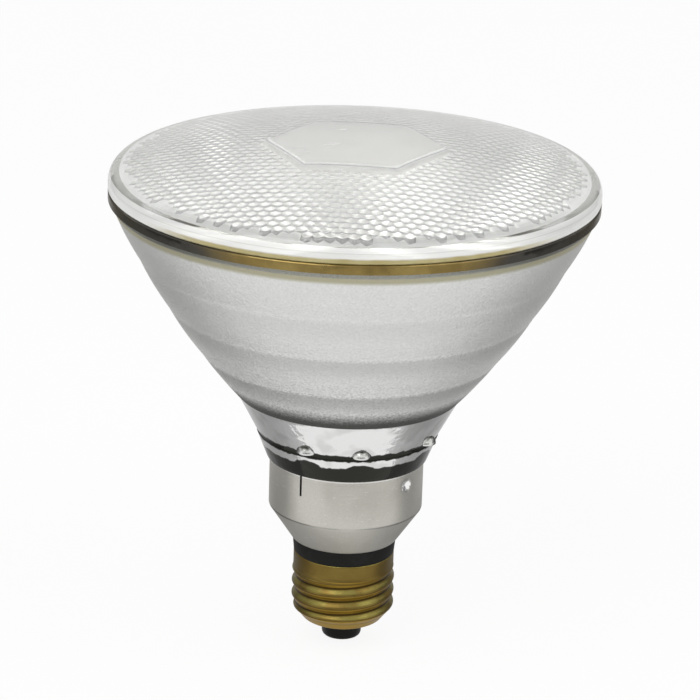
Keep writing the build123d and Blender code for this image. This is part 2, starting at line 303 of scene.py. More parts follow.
def table_white(shadow):
    """White table: shadow is the share of it that is lit in the normal way."""
    material = bpy.data.materials.new("table_white")
    tree = bare_tree(material)
    lit = made(tree, "ShaderNodeBsdfDiffuse", {"Color": (0.95, 0.95, 0.95, 1)})
    flat = made(tree, "ShaderNodeEmission", {"Color": WHITE, "Strength": 1.0})
    share = times(backdrop_ray(tree), 1 - shadow)
    mix = made(tree, "ShaderNodeMixShader", {0: share, 1: lit, 2: flat})
    place(tree, "ShaderNodeOutputMaterial", {"Surface": mix})
    return material


floor_radius, floor_drop = 3.0, -0.0003
scene.world = lit_world(0.66)
bm = bmesh.new()
bmesh.ops.create_circle(bm, cap_ends=True, segments=96, radius=floor_radius)
floor = bpy.data.objects.new("floor", as_mesh("floor", bm))
floor.data.transform(Matrix.Translation((0, 0, floor_drop)))
floor.data.materials.append(table_white(0.1))
scene.collection.objects.link(floor)
print("floor radius", floor_radius, "m")


# %% Lamps and cards
def soft_box(name, spot, size, watts):
    """Square area lamp aimed at the bulb's middle."""
    lamp = bpy.data.lights.new(name, "AREA")
    lamp.size = size
    lamp.energy = watts
    box = bpy.data.objects.new(name, lamp)
    box.location = spot
    box.rotation_euler = (Vector(spot) - aim).to_track_quat("Z", "Y").to_euler()
    scene.collection.objects.link(box)


def studio_card(name, corners, level):
    """Card that only mirror-like surfaces see; level gives its strength in the card's tree."""
    bm = bmesh.new()
    bm.faces.new([bm.verts.new(c) for c in corners])
    card = bpy.data.objects.new(name, as_mesh(name, bm))
    material = bpy.data.materials.new(name)
    tree = bare_tree(material)
    flat = made(tree, "ShaderNodeEmission", {"Color": WHITE, "Strength": level(tree)})
    place(tree, "ShaderNodeOutputMaterial", {"Surface": flat})
    card.data.materials.append(material)
    scene.collection.objects.link(card)
    card.visible_camera = card.visible_diffuse = card.visible_shadow = False
    card.visible_transmission = False


def upright(x0, y0, x1, y1, height):
    """Corners of a card that stands on the table from one point to another."""
    return [(x0, y0, 0), (x1, y1, 0), (x1, y1, height), (x0, y0, height)]


def darker_behind(tree):
    """White in front of the bulb, darker round its foot behind: a table lit from the front."""
    x, y = local_xyz(tree)[:2]
    depth = times_plus(reckon("ABSOLUTE", x), 0.4, y)
    near = ease(depth, -0.09, 0.05, 0.97, 0.36)
    return plus(near, ease(depth, 0.05, 0.2, 0.0, 0.34))


def paler_above(tree):
    """Backdrop that is grey near the table and bright like a soft box higher up."""
    z = local_xyz(tree)[2]
    return plus(ease(z, 0.0, 0.4, 0.75, 1.0), ease(z, 0.3, 0.8, 0.0, 1.0))


def soft_top(level):
    """Level of a card that pales to white at its upper edge, so that glass mirrors no hard edge."""
    return lambda tree: ease(local_xyz(tree)[2], 0.13, side_height, level, 1.0)


far, lift, side_height = 0.9, 0.0004, 0.3
soft_box("key_box", (-0.55, -0.75, 1.15), 0.9, 6.0)
soft_box("fill_box", (0.75, -0.35, 1.0), 0.8, 2.5)
table = [(-0.8, -0.02, lift), (0.8, -0.02, lift), (0.8, far, lift), (-0.8, far, lift)]
studio_card("table_card", table, darker_behind)
studio_card("back_card", upright(-1.2, far, 1.2, far, 1.6), paler_above)
for name, x in (("left_card", -0.5), ("right_card", 0.5)):
    studio_card(name, upright(x, -0.1, x, far, side_height), soft_top(0.2))
studio_card("front_card", upright(-0.8, -far, 0.8, -far, side_height), soft_top(0.08))
print("two lamps and five cards")

# %% [markdown]
# ## Effects that several finishes share
# Real surfaces are never one flat value. Three small shader groups give what these materials have
# in common: the fine grain of pressed glass and moulded plastic, the smudges and scuffs of
# handling, and the fine rings that turning and spinning leave on metal. Each material sets its own
# amounts.


# %% Shader groups
def shader_group(name, inputs, outputs):
    """New shader group of plain number sockets; gives its tree, what comes in and what goes out."""
    tree = bpy.data.node_groups.new(name, "ShaderNodeTree")
    for label, value in inputs.items():
        socket = tree.interface.new_socket(label, in_out="INPUT", socket_type="NodeSocketFloat")
        socket.default_value = value
    for label in outputs:
        tree.interface.new_socket(label, in_out="OUTPUT", socket_type="NodeSocketFloat")
    return tree, place(tree, "NodeGroupInput").outputs, place(tree, "NodeGroupOutput").inputs


def noise(vector, scale, detail):
    """Noise texture's value."""
    sockets = {"Vector": vector, "Scale": scale, "Detail": detail}
    return made(vector.id_data, "ShaderNodeTexNoise", sockets)


grained = {"Grains per metre": 2500.0}
fine_grain, given, out = shader_group("fine_grain", grained, ["Grain", "Cloud"])
point = local_point(fine_grain)
fine_grain.links.new(noise(point, given[0], 3.0), out["Grain"])
slow = times(given[0], 0.02)
fine_grain.links.new(noise(point, slow, 2.0), out["Cloud"])

marked = {"Marks per metre": 120.0, "Amount": 0.4}
handling, given, out = shader_group("handling", marked, ["Smudge", "Scuff"])
point = local_point(handling)
smudge = ease(noise(point, given[0], 4.0), 0.45, 0.75)
handling.links.new(times(smudge, given["Amount"]), out["Smudge"])
warped = made(handling, "ShaderNodeMapping", {"Vector": point, "Scale": (1.0, 1.0, 6.0)})
many = times(given[0], 4.0)
scuff = ease(noise(warped, many, 5.0), 0.64, 0.72)
handling.links.new(times(scuff, given["Amount"]), out["Scuff"])

turning, given, out = shader_group("turning", {"Rings per metre": 3000.0}, ["Rings"])
lathe = {"W": local_xyz(turning)[2], "Scale": given[0], "Detail": 3.0}
turning.links.new(made(turning, "ShaderNodeTexNoise", lathe, noise_dimensions="1D"), out["Rings"])
print("groups:", fine_grain.name, handling.name, turning.name)


# %% Helpers for materials
def finish(name, **plain):
    """New material with one Principled shader; gives the material, its tree and the shader."""
    material = bpy.data.materials.new(name)
    material.use_nodes = True
    tree = material.node_tree
    shader = tree.nodes["Principled BSDF"]
    for key, value in plain.items():
        shader.inputs[key.replace("_", " ").title().replace("Ior", "IOR")].default_value = value
    return material, tree, shader


def grain_of(tree, grains_per_metre):
    """Grain and Cloud of the shared fine grain."""
    return place(tree, "ShaderNodeGroup", {0: grains_per_metre}, node_tree=fine_grain).outputs


def marks_of(tree, marks_per_metre, amount):
    """Smudge and Scuff of the shared handling."""
    sockets = {0: marks_per_metre, 1: amount}
    return place(tree, "ShaderNodeGroup", sockets, node_tree=handling).outputs


def rings_of(tree, rings_per_metre):
    """Rings of the shared turning."""
    return made(tree, "ShaderNodeGroup", {0: rings_per_metre}, node_tree=turning)


def blend(share, a, b):
    """Mix two colours, each a link or plain red, green and blue."""
    a, b = (value if is_link(value) else (*value, 1) for value in (a, b))
    sockets = {0: share, 6: a, 7: b}
    return place(share.id_data, "ShaderNodeMix", sockets, data_type="RGBA").outputs[2]


def dress(shader, tone=None, rough=None):
    """Wire a colour and a roughness to the shader."""
    for name, value in (("Base Color", tone), ("Roughness", rough)):
        if value is not None:
            shader.id_data.links.new(value, shader.inputs[name])


def relief(shader, height, distance):
    """Bump the shader's normal by a height of 0 to 1 over the distance in metres."""
    tree = shader.id_data
    bump = made(tree, "ShaderNodeBump", {"Height": height, "Distance": distance, "Strength": 1.0})
    tree.links.new(bump, shader.inputs["Normal"])


def turned_away(tree):
    """0 where a surface faces the viewer, rising to 1 where it turns away."""
    return place(tree, "ShaderNodeLayerWeight", {"Blend": 0.5}).outputs["Facing"]


def upward(tree):
    """How far a surface faces up, from -1 to 1."""
    return split(place(tree, "ShaderNodeNewGeometry").outputs["Normal"])[2]


def carried(tree, name):
    """Number that a mesh carries on its points."""
    return place(tree, "ShaderNodeAttribute", attribute_name=name).outputs["Fac"]


# %% [markdown]
# ## Front glass
# The front glass is pressed: its outside is a smooth shallow dome with a raised six-sided pad, and
# its inside is covered with about twelve hundred small pillow lenses that spread the heat. Bump
# mapping would draw the pillows, but real ones bend the view of the mirror behind them, and that is
# what gives the front its net of bright spots. So Geometry Nodes set one small six-sided tile on a
# lattice of points, weld the tiles, and lay the sheet on the inner dome.

# %% Finishes of the front glass
lens_turn = -4.0
panel_apothem = 21.3
glass_ior = 1.47


def clear_front_glass():
    """Clear pressed glass, satin inside the six-sided panel, with faint ripples and smudges."""
    clear = {"base_color": (0.985, 0.99, 0.98, 1), "transmission_weight": 1.0, "metallic": 0.0}
    material, tree, shader = finish("front_glass", ior=glass_ior, **clear)
    x, y = local_xyz(tree)[:2]
    reach = six_sided(x, y, 90 + lens_turn)
    satin = ease(reach, (panel_apothem - 0.3) * MM, (panel_apothem + 0.1) * MM, 0.24, 0.0)
    marks = marks_of(tree, 60.0, 0.05)
    dress(shader, rough=plus(satin, marks["Smudge"]))
    ripple = grain_of(tree, 1500.0)
    relief(shader, ripple["Cloud"], 0.00004)
    return material


def adhesive():
    """Amber sealing adhesive, seen through the edge of the glass, pale behind."""
    material, tree, shader = finish("seal_adhesive", roughness=0.45, metallic=0.0)
    cloud = grain_of(tree, 3000.0)["Cloud"]
    tone = blend(cloud, (0.40, 0.33, 0.12), (0.64, 0.57, 0.31))
    behind = ease(local_xyz(tree)[1], -0.052, -0.030)
    dress(shader, blend(behind, tone, (0.66, 0.66, 0.62)))
    return material


def milky_glass(name, clear, dull, bright, low, high):
    """Pressed glass that scatters part of the light; clear is the share that passes straight on.

    Gives the material, its tree, the shader and the colour, which may be worked on further."""
    material, tree, shader = finish(name, ior=glass_ior, transmission_weight=clear, metallic=0.0)
    grain = grain_of(tree, 3000.0)["Grain"]
    tone = blend(grain, dull, bright)
    dress(shader, tone, ease(grain, 0.2, 0.8, low, high))
    return material, tree, shader, tone


def pad_edge_finish():
    """Edge of the raised pad: painted highlight on the roll, painted shade line at its foot."""
    # the pale tones of the roll are a painted highlight
    material, tree, shader, tone = milky_glass(
        "pad_edge", 0.45, (0.85, 0.85, 0.83), (0.97, 0.97, 0.95), 0.15, 0.3
    )
    x, y = local_xyz(tree)[:2]
    # painted shade: a dark line along the foot of the pad's edge
    foot = ease(six_sided(x, y, 90 + lens_turn), 0.01905, 0.01915)
    dress(shader, blend(foot, tone, (0.38, 0.39, 0.41)))
    return material


def pillow_finish():
    """Pillow lenses: painted white crowns as highlights, painted grey shade where they meet."""
    material, tree, shader, tone = milky_glass(
        "pillow_glass", 0.8, (0.76, 0.76, 0.73), (0.86, 0.855, 0.83), 0.0, 0.06
    )
    # painted highlight: each crown goes white, and the grey net between keeps its painted shade
    crown_highlight = ease(carried(tree, "rise"), 0.1, 0.55)
    dress(shader, blend(crown_highlight, tone, (1, 1, 0.99)))
    return material


def rim_finish():
    """Melted rim: milky white with fine rings, and amber low at the front where the seal shows."""
    material, tree, shader, tone = milky_glass(
        "rim_glass", 0.3, (0.93, 0.935, 0.92), (1, 1, 0.99), 0.03, 0.1
    )
    y, z = local_xyz(tree)[1:]
    lines = rings_of(tree, 2200.0)
    tone = blend(ease(lines, 0.56, 0.66, 0.0, 0.3), tone, (0.45, 0.45, 0.42))
    cloud = grain_of(tree, 9000.0)["Cloud"]
    low = ease(ragged(z, cloud, 0.0006), 0.1214, 0.1219, 1.0, 0.0)
    in_front = ease(y, -0.034, -0.052)
    amber = blend(cloud, (0.42, 0.34, 0.11), (0.68, 0.61, 0.34))
    dress(shader, blend(times(low, in_front), tone, amber))
    return material


CLEAR, SEAL, PANEL, RIM, PAD_EDGE, PILLOW = range(6)
front_glass = clear_front_glass()
etched_panel = milky_glass(
    "etched_panel", 0.4, (0.79, 0.785, 0.75), (0.89, 0.885, 0.855), 0.4, 0.55
)[0]
lens_finishes = [
    front_glass, adhesive(), etched_panel, rim_finish(), pad_edge_finish(), pillow_finish()
]
print(len(lens_finishes), "finishes for the front glass")


# %% Geometry Nodes: sheet of pillow lenses
def rule_tree(name, inputs):
    """New Geometry Nodes tree with named inputs; gives the tree and what comes in."""
    tree = bpy.data.node_groups.new(name, "GeometryNodeTree")
    tree.interface.new_socket("Geometry", in_out="INPUT", socket_type="NodeSocketGeometry")
    for label, value in inputs.items():
        kind = "NodeSocketMaterial" if isinstance(value, bpy.types.Material) else "NodeSocketFloat"
        socket = tree.interface.new_socket(label, in_out="INPUT", socket_type=kind)
        socket.default_value = value
    tree.interface.new_socket("Geometry", in_out="OUTPUT", socket_type="NodeSocketGeometry")
    return tree, place(tree, "NodeGroupInput").outputs


def end_rule(tree, geometry, material):
    """Close a tree with Realize Instances and Set Material."""
    real = made(tree, "GeometryNodeRealizeInstances", {0: geometry})
    painted = made(tree, "GeometryNodeSetMaterial", {0: real, "Material": material})
    place(tree, "NodeGroupOutput", {0: painted})


def applied(body):
    """Mesh of an object with its modifiers applied. The object itself goes."""
    depsgraph = bpy.context.evaluated_depsgraph_get()
    depsgraph.update()
    mesh = bpy.data.meshes.new_from_object(body.evaluated_get(depsgraph), depsgraph=depsgraph)
    bpy.data.objects.remove(body)
    return mesh


def made_by(tree, values, start=None):
    """Run a tree on a mesh, with its named inputs set, and give the result as a plain mesh."""
    carrier = bpy.data.objects.new(tree.name, start or bpy.data.meshes.new(tree.name))
    scene.collection.objects.link(carrier)
    modifier = carrier.modifiers.new("rule", "NODES")
    modifier.node_group = tree
    for item in tree.interface.items_tree:
        if item.in_out == "INPUT" and item.name in values:
            modifier[item.identifier] = values[item.name]
    return applied(carrier)


def stored(tree, geometry, name, value):
    """Keep a number on every point of a geometry."""
    sockets = {"Geometry": geometry, "Name": name, "Value": value}
    kind = {"data_type": "FLOAT", "domain": "POINT"}
    return made(tree, "GeometryNodeStoreNamedAttribute", sockets, **kind)


def kept(tree, name):
    """Read back a number kept under a name."""
    return made(tree, "GeometryNodeInputNamedAttribute", {"Name": name}, data_type="FLOAT")


def spot(tree):
    """x, y and z of each point."""
    return split(made(tree, "GeometryNodeInputPosition"))


def moved_to(tree, geometry, x, y, z):
    """Set Position from three numbers."""
    vector = made(tree, "ShaderNodeCombineXYZ", {0: x, 1: y, 2: z})
    return made(tree, "GeometryNodeSetPosition", {"Geometry": geometry, "Position": vector})


def copies(tree, points, instance):
    """One copy of a geometry on each point."""
    return made(tree, "GeometryNodeInstanceOnPoints", {"Points": points, "Instance": instance})


def welded(tree, geometry):
    """Join points that lie on each other."""
    return made(tree, "GeometryNodeMergeByDistance", {0: geometry, "Distance": WELD})


dome_centre, outer_dome_radius, inner_dome_radius = -125.916, 258.566, 255.566


def pillow_tree():
    """Tile, lattice of points, instances, weld, and the fall of the dome."""
    names = {
        "Pitch": 2.75 * MM,
        "Depth": 0.31 * MM,
        "Reach": 55.4 * MM,
        "Panel": panel_apothem * MM,
        "Dome radius": inner_dome_radius * MM,
        "Dome centre": dome_centre * MM,
        "Turn": math.radians(lens_turn),
        "Material": front_glass,
    }
    tree, given = rule_tree("pillow_sheet", names)
    row = times(given["Pitch"], math.sqrt(3) / 2)
    corner = over(given["Pitch"], math.sqrt(3))
    sockets = {"Vertices": 6, "Radius": corner}
    tile = made(tree, "GeometryNodeMeshCircle", sockets, fill_type="TRIANGLE_FAN")
    tile = made(tree, "GeometryNodeTransform", {0: tile, "Rotation": (0, 0, math.radians(30))})
    tile = made(tree, "GeometryNodeSubdivideMesh", {0: tile, "Level": 1})
    x, y = spot(tree)[:2]
    edge = over(six_sided(x, y, 0), times(given["Pitch"], 0.5))
    tile = stored(tree, tile, "rise", minus(1.0, power(edge, 2.0)))

    across, rows = 45, 51
    sockets = {
        "Size X": times(given["Pitch"], across - 1),
        "Size Y": times(row, rows - 1),
        "Vertices X": across,
        "Vertices Y": rows,
    }
    lattice = made(tree, "GeometryNodeMeshGrid", sockets)
    x, y = spot(tree)[:2]
    number = reckon("ROUND", over(y, row))
    odd = reckon("FLOORED_MODULO", number, 2.0)
    shift = times(times(odd, given["Pitch"]), 0.5)
    lattice = moved_to(tree, lattice, plus(x, shift), y, 0.0)
    x, y = spot(tree)[:2]
    pillow = more_than(six_sided(x, y, 90), given["Panel"])
    lattice = stored(tree, lattice, "pillow", pillow)
    away = reckon("SQRT", squared_radius(x, y))
    outside = more_than(away, given["Reach"])
    lattice = made(tree, "GeometryNodeDeleteGeometry", {0: lattice, 1: outside}, domain="POINT")
    sheet = made(tree, "GeometryNodeRealizeInstances", {0: copies(tree, lattice, tile)})
    sheet = welded(tree, sheet)

    x, y = spot(tree)[:2]
    squared = minus(power(given["Dome radius"], 2.0), squared_radius(x, y))
    dome = plus(reckon("SQRT", squared), given["Dome centre"])
    fall = times(times(kept(tree, "rise"), kept(tree, "pillow")), given["Depth"])
    sheet = moved_to(tree, sheet, x, y, minus(dome, fall))
    turn = made(tree, "ShaderNodeCombineXYZ", {2: given["Turn"]})
    sheet = made(tree, "GeometryNodeTransform", {0: sheet, "Rotation": turn})
    end_rule(tree, sheet, given["Material"])
    return tree, names


pillow_sheet = made_by(*pillow_tree())
print("pillow sheet:", len(pillow_sheet.polygons), "faces")

# %% [markdown]
# The outside of the glass is built ring by ring. The rings begin as hexagons, for the pad's flat
# top and its soft edge, and melt into circles before the round corner and the straight wall. The
# last ring is then filled out to the ragged edge of the pillow sheet, so the glass is one closed
# body: a ray that enters it also has to leave it, which is what makes glass look solid.

# %% Front glass as one closed body
rim_radius, seal_radius, seal_height = 60.8, 57.2, 120.42
pad_rise, pad_foot, panel_corner = 0.35, 22.4, 23.8
corner_start, corner_bend, corner_height, corner_span = 57.53, 4.2, 122.073, 77.2


def hexagon_radius(angle, corner_radius):
    """Radius of a hexagon at an angle from one of its corners, in degrees."""
    a = math.radians(angle % 60 - 30)
    return corner_radius * math.cos(math.radians(30)) / math.cos(a)


def outer_dome(r):
    """Height of the outer dome at a radius."""
    return dome_centre + math.sqrt(outer_dome_radius**2 - r * r)


def glass_rings(segments):
    """Rings of (radius, height) from the pad's middle over the rim to the inner wall's top.

    The second list gives the material of the faces that end at each ring."""
    angles = [360 * i / segments for i in range(segments)]
    rings = []
    for share in (0.2, 0.45, 0.7, 0.9):
        flat = [share * hexagon_radius(a, 21.7) for a in angles]
        rings.append([(r, outer_dome(r) + pad_rise) for r in flat])
    for size, rise in ((21.6, pad_rise), (21.75, 0.32), (21.9, 0.2), (22.1, 0.06), (pad_foot, 0.0)):
        edge = [hexagon_radius(a, size) for a in angles]
        rings.append([(r, outer_dome(r) + rise) for r in edge])
    steps = 14
    for k in range(1, steps + 1):
        t = k / steps
        wide = pad_foot + (corner_start - pad_foot) * t
        melt = min(1.0, t / 0.3)
        melted = [hexagon_radius(a, wide) * (1 - melt) + wide * melt for a in angles]
        rings.append([(r, outer_dome(r)) for r in melted])
    for k in range(1, 11):
        a = math.radians(corner_span * (1 - k / 10))
        r = rim_radius - corner_bend + corner_bend * math.cos(a)
        rings.append([(r, corner_height + corner_bend * math.sin(a))] * segments)
    edge = (
        (rim_radius, 120.8, RIM),
        (60.4, seal_height, RIM),
        (seal_radius, seal_height, SEAL),
        (seal_radius, 121.1, SEAL),
        (seal_radius, 123.167, PILLOW),
    )
    kinds = [CLEAR] * 5 + [PAD_EDGE] * 4 + [CLEAR] * (len(rings) - 13) + [RIM] * 4
    kinds += [kind for r, z, kind in edge]
    rings += [[(r, z)] * segments for r, z, kind in edge]
    return rings, kinds


def in_panel(point):
    """Whether a point lies inside the six-sided panel."""
    angle = math.degrees(math.atan2(point.y, point.x)) - lens_turn
    return math.hypot(point.x, point.y) < hexagon_radius(angle, panel_corner) * MM


def closed_lens(sheet, segments=192):
    """Join the outer rings and the pillow sheet into one closed mesh."""
    bm = bmesh.new()
    bm.from_mesh(sheet)
    for face in bm.faces:
        face.material_index = PANEL if in_panel(face.calc_center_median()) else PILLOW
    ragged_edge = [e for e in bm.edges if e.is_boundary]
    previous = [bm.verts.new((0, 0, (outer_dome(0) + pad_rise) * MM))]
    for ring, kind in zip(*glass_rings(segments)):
        current = []
        for i, (r, z) in enumerate(ring):
            a = math.radians(lens_turn + 360 * i / segments)
            current.append(bm.verts.new((r * MM * math.cos(a), r * MM * math.sin(a), z * MM)))
        skin(bm, previous, current, kind)
        previous = current
    mouth = [bm.edges.get((previous[i - 1], previous[i])) for i in range(segments)]
    filled = bmesh.ops.triangle_fill(
        bm, edges=ragged_edge + mouth, use_beauty=True, normal=(0, 0, 1)
    )
    for item in filled["geom"]:
        if isinstance(item, bmesh.types.BMFace):
            item.material_index = RIM
    bmesh.ops.recalc_face_normals(bm, faces=bm.faces)
    print("open edges of the front glass:", sum(1 for e in bm.edges if not e.is_manifold))
    return as_mesh("front_lens_glass", bm, sharp=30.0)


keep("front_lens_glass", closed_lens(pillow_sheet), lens_finishes, "front_glass", "front_lens")
bpy.data.meshes.remove(pillow_sheet)

# %% [markdown]
# ## Reflector
# The bowl is thick pressed glass with aluminium evaporated on its inside. From outside the metal
# shows through the glass, and each stretch of the glass has its own surface: a brown-gold flange, a
# stippled chamfer, the satin bowl with an olive band over four bulged zones, and a polished neck. A
# single opaque skin with one finish per stretch gives that look with far less noise than a thick
# clear body would.

# %% Finishes of the reflector
bowl_top, bowl_foot, zones, bulge = 116.7, 67.8, 4, 0.25
zone_height = (bowl_top - bowl_foot) / zones
lug_turns = (-26, 9, 60)


def mirror_finish():
    """Evaporated aluminium inside the bowl."""
    material, tree, shader = finish("bowl_mirror", metallic=1.0)
    film = grain_of(tree, 2000.0)
    tone = blend(film["Cloud"], (0.90, 0.90, 0.89), (0.95, 0.95, 0.94))
    dress(shader, tone, ease(film["Grain"], 0.3, 0.8, 0.05, 0.14))
    relief(shader, film["Cloud"], 0.0002)
    return material


def flange_finish():
    """Edge of the bowl: brown-gold glass over the seal, with painted shade where it turns away."""
    gloss = {"specular_tint": (0.45, 0.43, 0.39, 1), "coat_weight": 0.06, "coat_roughness": 0.05}
    material, tree, shader = finish("flange_glass", metallic=0.85, **gloss)
    cloud = grain_of(tree, 9000.0)["Cloud"]
    tone = blend(cloud, (0.10, 0.062, 0.014), (0.33, 0.245, 0.085))
    # painted shade: darker where the flange turns away
    turned_shade = ease(turned_away(tree), 0.11, 0.27)
    tone = blend(turned_shade, tone, (0.055, 0.052, 0.045))
    marks = marks_of(tree, 200.0, 0.3)
    dress(shader, tone, plus(marks["Smudge"], 0.12))
    relief(shader, cloud, 0.00015)
    return material


def satin_bowl():
    """Stippled glass over aluminium: fine grain, painted shade, an olive band under the flange.

    Painted shade darkens the upper part of each zone, most low down, the foot and the upper limbs.
    """
    material, tree, shader = finish("satin_bowl", metallic=0.8)
    z = local_xyz(tree)[2]
    grain = grain_of(tree, 1700.0)["Grain"]
    contrast = ease(z, 0.068, 0.1, 2.2, 0.9)
    speckle = times(minus(grain, 0.5), contrast)
    tone = blend(plus(speckle, 0.5), (0.55, 0.555, 0.54), (0.88, 0.885, 0.87))
    # painted shade: each zone darker just under its upper edge, more so low on the bowl
    zone = reckon("FRACT", over(minus(z, bowl_foot * MM), zone_height * MM))
    under = band(ragged(zone, grain, 0.12), 0.3, 0.88, 0.88, 1.0)
    shade = times(under, ease(z, 0.068, 0.1175, 0.42, 0.0))
    # painted shade: a dark foot at the bottom of the bowl
    foot = ease(times_plus(speckle, 0.0012, z), 0.0690, 0.0745, 0.95, 0.0)
    tone = blend(most(shade, foot), tone, (0.035, 0.037, 0.031))
    # painted shade: darker where the bowl turns away, on its upper part
    limb = ease(turned_away(tree), 0.4, 0.8)
    limb = times(limb, ease(z, 0.075, 0.105, 0.0, 0.45))
    tone = blend(limb, tone, (0.22, 0.22, 0.20))
    olive = times(band(z, 0.1145, 0.1158, 0.1166, 0.1170), 0.75)
    tone = blend(olive, tone, (0.33, 0.30, 0.15))
    dress(shader, tone, ease(grain, 0.25, 0.8, 0.36, 0.56))
    relief(shader, grain, 0.00022)
    return material


def stipple_finish():
    """Grey stippled chamfer under the flange, with painted shade where it turns away."""
    material, tree, shader = finish("stippled_glass", metallic=0.6)
    grain = grain_of(tree, 2600.0)["Grain"]
    tone = blend(grain, (0.16, 0.165, 0.15), (0.52, 0.52, 0.47))
    # painted shade: darker where the chamfer turns away
    turned_shade = ease(turned_away(tree), 0.45, 0.75, 0.0, 0.8)
    tone = blend(turned_shade, tone, (0.05, 0.05, 0.043))
    dress(shader, tone, ease(grain, 0.3, 0.8, 0.35, 0.6))
    relief(shader, grain, 0.0004)
    return material


def neck_finish():
    """Polished neck: bright silver, with painted shade in the groove and round the foot."""
    gloss = {"coat_weight": 0.3, "coat_roughness": 0.05, "coat_ior": glass_ior}
    material, tree, shader = finish("polished_neck", metallic=1.0, **gloss)
    x, y, z = local_xyz(tree)
    waver = grain_of(tree, 22000.0)["Cloud"]
    uneven = ragged(z, waver, 0.0014)
    # painted shade in the groove
    groove = band(uneven, 0.0568, 0.0571, 0.0587, 0.0590)
    angle = reckon("ARCTAN2", x, times(y, -1.0))
    swell = 0.0
    for turn in lug_turns:
        beside = minus(angle, math.radians(turn))
        beside = reckon("WRAP", beside, math.radians(90), math.radians(-90))
        share = power(over(beside, math.radians(9.5)), 2.0)
        swell = most(swell, minus(1.0, share))
    # painted shade round the foot, reaching higher under each lug
    foot = ease(times_plus(swell, -0.0012, uneven), 0.0547, 0.0551, 1.0, 0.0)
    patch = grain_of(tree, 6000.0)["Cloud"]
    thin = ease(patch, 0.50, 0.62, 0.0, 0.7)
    tone = blend(thin, (0.77, 0.77, 0.765), (0.58, 0.575, 0.565))
    tone = blend(most(groove, foot), tone, (0.018, 0.019, 0.014))
    marks = marks_of(tree, 150.0, 0.10)
    dress(shader, tone, plus(marks["Smudge"], 0.08))
    relief(shader, waver, 0.00012)
    return material


def lug_finish():
    """Solid glass lug: painted shade on top and where it turns away, painted light low down."""
    material, tree, shader = finish("lug_glass", metallic=1.0, coat_weight=0.2, coat_roughness=0.1)
    waver = grain_of(tree, 26000.0)
    # painted shade on faces that look up and where the lug turns away, painted light elsewhere
    above = ease(times_plus(waver["Cloud"], 0.5, upward(tree)), 0.55, 0.95)
    edge = ease(times_plus(waver["Cloud"], 0.3, turned_away(tree)), 0.42, 0.75)
    dark = most(above, edge)
    tone = blend(dark, (0.70, 0.70, 0.68), (0.055, 0.056, 0.048))
    dress(shader, tone, ease(waver["Grain"], 0.3, 0.7, 0.15, 0.32))
    return material


reflector_finishes = [
    mirror_finish(), flange_finish(), stipple_finish(), satin_bowl(), neck_finish()
]
lug_glass = lug_finish()
print(len(reflector_finishes) + 1, "finishes for the reflector")


# %% Reflector body
def bowl_radius(z):
    """Outer radius of the bowl: a parabola, slimmer above its foot, bulged in each zone."""
    part = (z - bowl_foot) / zone_height
    down = 1 - part / zones
    slim = 1.6 * min(down, 0.86) ** 1.3 - 0.3 * max(0.0, (down - 0.86) / 0.14) ** 2
    return math.sqrt(55.343 * (z - 52.3)) - slim + bulge * abs(math.sin(math.pi * part))


def mirror_height(r):
    """Height of the mirror inside the bowl."""
    return 55.5 + 64.9 * (r / seal_radius) ** 2


def reflector_runs():
    """Outline of the reflector as five runs, one per finish."""
    steps = 60
    inside = [(r, mirror_height(r)) for r in (seal_radius * k / steps for k in range(steps + 1))]
    edge = rounded(
        (seal_radius, 120.4, 0), (60.4, 120.4, 0.15), (rim_radius, 120.0, 0.15),
        (rim_radius, 118.0, 0), steps=3,
    )
    chamfer = [(rim_radius, 118.0), (60.2, 117.3), (bowl_radius(bowl_top), bowl_top)]
    steps = 96
    bowl = [bowl_top + (bowl_foot - bowl_top) * k / steps for k in range(steps + 1)]
    neck = rounded(
        (bowl_radius(bowl_foot), bowl_foot, 0), (27.95, 67.2, 0.3),  # step under the bowl
        (23.3, 58.4, 0.2), (22.8, 58.4, 0.1), (22.8, 57.4, 0.1), (23.05, 57.4, 0.3),  # groove
        (20.35, 50.55, 0.6), (18.7, 50.4, 0.3), (18.7, 44.5, 0),  # shoulder and plug
        (15.75, 44.5, 0), (15.75, 52.3, 0), (0, 52.3, 0),  # hollow behind the mirror
        steps=4,
    )
    return [inside, edge, chamfer, [(bowl_radius(z), z) for z in bowl], fine_line(neck, step=0.8)]


body = turned_mesh("reflector_glass", reflector_runs(), sharp=40.0)
keep("reflector_glass", body, reflector_finishes, "silvered_glass", "reflector")

# %% [markdown]
# Half-round lugs stand on the neck above the groove and locate the bulb in the press. Three of them
# come again on the other side, so Geometry Nodes put one half dome on six points.


# %% Geometry Nodes: lugs round the neck
def lug_points():
    """Six points round the neck: the three turns, and the same half a turn on."""
    mesh = bpy.data.meshes.new("lug_points")
    turns = [math.radians(turn + half) for turn in lug_turns for half in (0, 180)]
    out, height = 22.6 * MM, 58.45 * MM
    mesh.from_pydata([(out * math.sin(a), -out * math.cos(a), height) for a in turns], [], [])
    return mesh


def lug_tree():
    """Half domes on the points that come in."""
    names = {"Dome": 2.6 * MM, "Material": lug_glass}
    tree, given = rule_tree("neck_lugs", names)
    sockets = {"Segments": 32, "Rings": 24, "Radius": given["Dome"]}
    dome = made(tree, "GeometryNodeMeshUVSphere", sockets)
    x, y, z = spot(tree)
    dome = welded(tree, moved_to(tree, dome, x, y, most(z, -WELD)))
    dome = made(tree, "GeometryNodeSetShadeSmooth", {0: dome})
    end_rule(tree, copies(tree, given["Geometry"], dome), given["Material"])
    return tree, names


keep("neck_lugs", made_by(*lug_tree(), lug_points()), [lug_glass], "silvered_glass")

# %% [markdown]
# ## Skirt
# The skirt is a thin spun aluminium sleeve. It is slit at its top edge so that it can spring over
# the glass, and two crimps hold it there. The slit is cut with a Boolean, and the crimps are dents
# pushed into the turned wall, because both are places where the turned shape stops being round.


